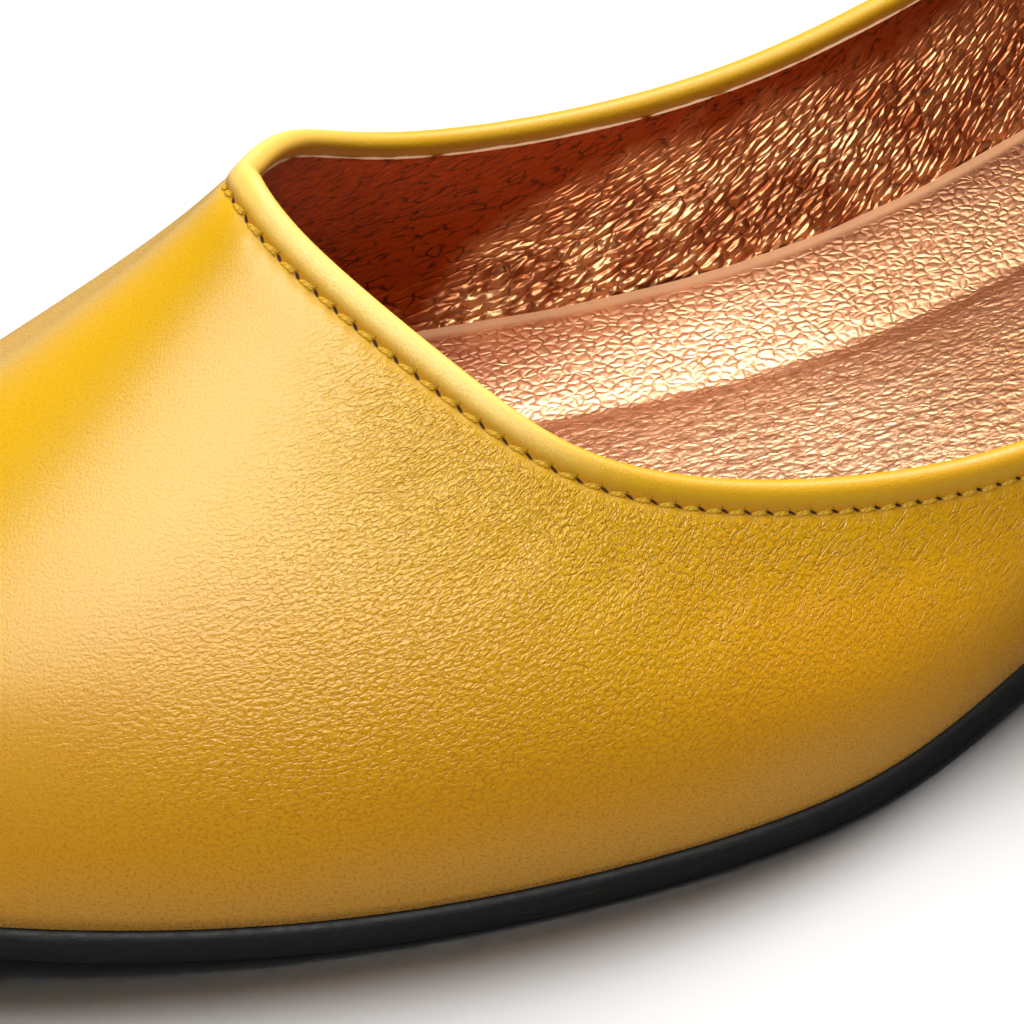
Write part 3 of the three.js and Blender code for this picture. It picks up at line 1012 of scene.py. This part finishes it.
def throatDistance(tree, place, forward, below):
    s = throatFoil
    throat = sums(tree, "DIVIDE", plus(tree, forward, s["behind"]), s["reach"], clamp=True)
    throat = times(tree, sums(tree, "POWER", throat, s["bow"]), s["drop"])
    uneven = times(tree, minus(tree, noise(tree, place, s["cloudScale"])[0], 0.5), s["uneven"])
    return plus(tree, minus(tree, below, throat), uneven)


def copperMaterial(name, group, finish):
    s = foilFolds
    made, tree, shader = startMaterial(name)
    forward = addNode(tree, "ShaderNodeSeparateXYZ", {0: millimetres(tree)}).outputs[0]
    if finish["map"] == "skin":
        place, _, below = uvParts(tree, "skin")
        distance = throatDistance(tree, place, forward, below)
    else:
        place = millimetres(tree)
        distance = below = uvParts(tree, "UVMap")[2]
    crackle = addNode(tree, "ShaderNodeGroup", node_tree=group)
    crackle.inputs["Groove"].default_value = finish["groove"]
    crackle.inputs["Lump"].default_value = finish["lump"]
    tree.links.new(laid(tree, place, *finish["cells"]), crackle.inputs["Place"])
    wave = noise(tree, laid(tree, place, *finish["waves"]), 1.0, finish["waveDetail"])[0]
    wavy = ramp(tree, distance, *finish["wavyFrom"])
    calm = ramp(tree, distance, *finish["calmEdge"])
    cellShare = minus(tree, 1.0, times(tree, wavy, finish["cellsGiveWay"]))
    height = times(tree, crackle.outputs["Height"], cellShare)
    height = plus(tree, height, times(tree, times(tree, wave, wavy), finish["waveHeight"]))
    height = times(tree, height, calm)
    # painted shade in the troughs of the waves
    trough = times(tree, ramp(tree, wave, *s["trough"]), wavy)
    fold = times(tree, crackle.outputs["Fold"], s["foldShare"])
    fold = larger(tree, fold, times(tree, trough, s["troughShade"]))
    # painted shade where the foil is calm: under the throat on the lining, along the edge on the sock
    calmShadeShare = times(tree, minus(tree, 1.0, calm), finish["calmShade"])
    fold = larger(tree, times(tree, fold, calm), calmShadeShare, clamp=True)
    colour = blendColour(tree, fold, finish["base"], finish["fold"])
    faint = times(tree, times(tree, crackle.outputs["Fold"], calmShadeShare), s["crackShare"])
    colour = blendColour(tree, faint, colour, finish["crack"])
    # random darker patches, and painted shade towards the heel where the light falls off
    patch = noise(tree, place, finish["patch"], 0.0)[0]
    patch = times(tree, ramp(tree, patch, *s["patchFrom"], *finish["patchShare"]), calm)
    shadeAndPatches = larger(tree, ramp(tree, forward, *finish["heelShade"]), patch)
    colour = blendColour(tree, shadeAndPatches, colour, finish["fold"])
    rawEdge = ramp(tree, below, *finish["rawEdge"])
    colour = blendColour(tree, rawEdge, colour, finish["raw"])
    rough = ramp(tree, fold, 0.0, 1.0, finish["roughness"], s["roughness"])
    tree.links.new(minus(tree, 1.0, rawEdge), shader.inputs["Metallic"])
    tree.links.new(rough, shader.inputs["Roughness"])
    tree.links.new(colour, shader.inputs["Base Color"])
    bumpInto(tree, shader, height, 1.0, finish["depth"])
    return made


rubberLook = {
    "plain": (0.016, 0.0158, 0.0145, 1),
    "scuffed": (0.036, 0.035, 0.032, 1),
    "scuffShare": 0.5,
    "scuffFrom": (0.55, 0.75),
    "streaks": (0.12, 0.12, 1.2),        # to the mm along, across and up
    "specks": 1.5,
    "roughness": (0.55, 0.72),
    "specular": 0.25,
    "bump": (0.5, 0.00008),
}


def rubberMaterial():
    look = rubberLook
    made, tree, shader = startMaterial("black_rubber")
    place = millimetres(tree)
    speck = noise(tree, place, look["specks"], 4.0, 0.65, False)[0]
    streaked = addNode(tree, "ShaderNodeMapping", {0: place, "Scale": look["streaks"]}).outputs[0]
    scuff = ramp(tree, noise(tree, streaked, 1.0, 4.0, 0.6, False)[0], *look["scuffFrom"])
    colour = blendColour(tree, times(tree, scuff, look["scuffShare"]), look["plain"], look["scuffed"])
    shader.inputs["Specular IOR Level"].default_value = look["specular"]
    tree.links.new(colour, shader.inputs["Base Color"])
    tree.links.new(ramp(tree, speck, 0.3, 0.7, *look["roughness"]), shader.inputs["Roughness"])
    bumpInto(tree, shader, plus(tree, speck, scuff), *look["bump"])
    return made


threadLook = {
    "deep": (0.58, 0.3, 0.008, 1),
    "pale": (0.8, 0.46, 0.02, 1),
    "twist": 2.2,
    "unevenTwist": 0.6,
    "roughness": 0.6,
    "specular": 0.2,
    "bump": (0.6, 0.00005),
}


def threadMaterial():
    look = threadLook
    made, tree, shader = startMaterial("mustard_thread")
    uv = addNode(tree, "ShaderNodeUVMap").outputs[0]
    values = {"Vector": uv, "Scale": look["twist"], "Distortion": look["unevenTwist"]}
    twist = addNode(tree, "ShaderNodeTexWave", values, bands_direction="DIAGONAL").outputs["Fac"]
    shader.inputs["Roughness"].default_value = look["roughness"]
    shader.inputs["Specular IOR Level"].default_value = look["specular"]
    tree.links.new(blendColour(tree, twist, look["deep"], look["pale"]), shader.inputs["Base Color"])
    bumpInto(tree, shader, twist, *look["bump"])
    return made


leather = leatherMaterial()
foilCrackle = crackleGroup()
liningFoil = copperMaterial("copper_lining", foilCrackle, liningFinish)
sockFoil = copperMaterial("copper_sock", foilCrackle, sockFinish)
rubber = rubberMaterial()
thread = threadMaterial()
print("materials ready")

upper = finishPiece(makeUpper(), "upper_leather", leather, "upper")
lining = finishPiece(makeLining(), "copper_sock", liningFoil)
insole = finishPiece(makeInsole(), "copper_sock", sockFoil, "insole")
outsole = finishPiece(makeOutsole(), "sole_rubber", rubber, "outsole")
stitches = finishPiece(makeStitches(), "upper_leather", thread)

# the floor glows more the further it is from the shoe: painted light that keeps it pale far behind the shoe
floorLook = {
    "radius": 4,
    "segments": 64,
    "colour": (0.9, 0.9, 0.9, 1),
    "roughness": 0.7,
    "near": (0, 0, 0, 1),
    "far": (0.85, 0.85, 0.85, 1),
    "paleFrom": (0.25, 0.9),             # metres from the shoe
}


def makeFloor():
    look = floorLook
    bm = bmesh.new()
    bmesh.ops.create_circle(bm, cap_ends=True, segments=look["segments"], radius=look["radius"])
    mesh = bpy.data.meshes.new("floor")
    bm.to_mesh(mesh)
    bm.free()
    floor = bpy.data.objects.new("floor", mesh)
    bpy.context.collection.objects.link(floor)
    made, tree, shader = startMaterial("floor_white")
    shader.inputs["Base Color"].default_value = look["colour"]
    shader.inputs["Roughness"].default_value = look["roughness"]
    place = addNode(tree, "ShaderNodeTexCoord").outputs["Object"]
    away = addNode(tree, "ShaderNodeVectorMath", {0: place}, operation="LENGTH").outputs["Value"]
    # painted light: the floor glows more the further it is from the shoe
    glow = blendColour(tree, ramp(tree, away, *look["paleFrom"]), look["near"], look["far"])
    tree.links.new(glow, shader.inputs["Emission Color"])
    shader.inputs["Emission Strength"].default_value = 1.0
    mesh.materials.append(made)
    floor.visible_glossy = False     # the leather mirrors the dark room, not the floor
    return floor


# each light shines on the named pieces alone; azimuth runs from +Y towards +X, distance and size are in
# metres and power in watts
lightColumns = ("name", "azimuth", "elevation", "distance", "size", "power", "on")
studio = [
    ("heel_top", 240, 55, 1.05, 0.6, 17.0, "floor leather"),
    ("over_top", 0, 90, 1.05, 0.8, 4.0, "leather lining"),
    ("left_top", 73, 51, 1.2, 0.9, 3.0, "leather"),
    ("toe_top", 130, 50, 1.0, 0.6, 1.6, "leather"),
    ("front_fill", 56, 19, 1.0, 0.8, 3.3, "leather"),
    ("front_sheen", 30, 66, 1.0, 0.6, 16.5, "leather"),
    ("back_wall", 180, 8, 1.2, 1.6, 4.4, "leather"),
    ("inside_top", 0, 90, 1.05, 0.8, 7.5, "insole"),
    ("inside_heel", 226, 72, 0.32, 0.08, 0.42, "insole"),
    ("inside_sheen", 30, 62, 1.0, 0.4, 2.0, "insole"),
    ("inside_front", 25, 25, 0.87, 0.7, 12.0, "lining"),
]
glossFree = ("left_top", "toe_top", "front_fill")
glossOnly = ("front_sheen", "back_wall")
lightsMeet = (0.03, 0.0, 0.01)
aimedElsewhere = {"inside_heel": (0.014, -0.008, 0.008)}


def makeLight(row, sets):
    lamp = dict(zip(lightColumns, row))
    name = lamp["name"]
    azimuth, elevation = math.radians(lamp["azimuth"]), math.radians(lamp["elevation"])
    level = math.cos(elevation)
    away = Vector((math.sin(azimuth) * level, math.cos(azimuth) * level, math.sin(elevation)))
    area = bpy.data.lights.new(name, "AREA")
    area.shape = "SQUARE"
    area.size = lamp["size"]
    area.energy = lamp["power"]
    light = bpy.data.objects.new(name, area)
    light.location = Vector(aimedElsewhere.get(name, lightsMeet)) + away * lamp["distance"]
    light.rotation_euler = away.to_track_quat("Z", "Y").to_euler()
    light.visible_glossy = name not in glossFree
    light.visible_diffuse = name not in glossOnly
    bpy.context.collection.objects.link(light)
    lit = bpy.data.collections.new(name + "_on")
    for part in lamp["on"].split():
        for piece in sets[part]:
            lit.objects.link(piece)
    light.light_linking.receiver_collection = lit


def makeWorld(strength):     # white behind the shoe, dim for the light it gives
    world = bpy.data.worlds.new("studio_white")
    world.use_nodes = True
    tree = world.node_tree
    seen = addNode(tree, "ShaderNodeLightPath").outputs["Is Camera Ray"]
    back = tree.nodes["Background"]
    back.inputs[0].default_value = (1, 1, 1, 1)
    tree.links.new(ramp(tree, seen, 0.0, 1.0, strength, 1.0), back.inputs[1])
    bpy.context.scene.world = world


view = {
    "target": (0.0249, -0.0132, -0.0007),
    "distance": 0.3614,
    "yaw": 31.63,
    "pitch": 39.66,
    "roll": 0.74,
    "lens": 126.4,
    "sensor": 36,
}


def makeCamera():
    yaw, pitch = math.radians(view["yaw"]), math.radians(view["pitch"])
    back = Vector((math.sin(yaw) * math.cos(pitch), math.cos(yaw) * math.cos(pitch), math.sin(pitch)))
    data = bpy.data.cameras.new("camera")
    data.lens = view["lens"]
    data.sensor_width = view["sensor"]
    camera = bpy.data.objects.new("camera", data)
    roll = Matrix.Rotation(math.radians(view["roll"]), 3, "Z")
    turn = back.to_track_quat("Z", "Y").to_matrix() @ roll
    place = Vector(view["target"]) + back * view["distance"]
    camera.matrix_world = Matrix.Translation(place) @ turn.to_4x4()
    bpy.context.collection.objects.link(camera)
    bpy.context.scene.camera = camera


lightSets = {
    "floor": [makeFloor()],
    "leather": [upper, stitches, outsole],
    "lining": [lining],
    "insole": [insole],
}
for row in studio:
    makeLight(row, lightSets)
makeWorld(0.03)
makeCamera()
bpy.context.scene.view_settings.view_transform = "Standard"
print("floor, light and camera ready")
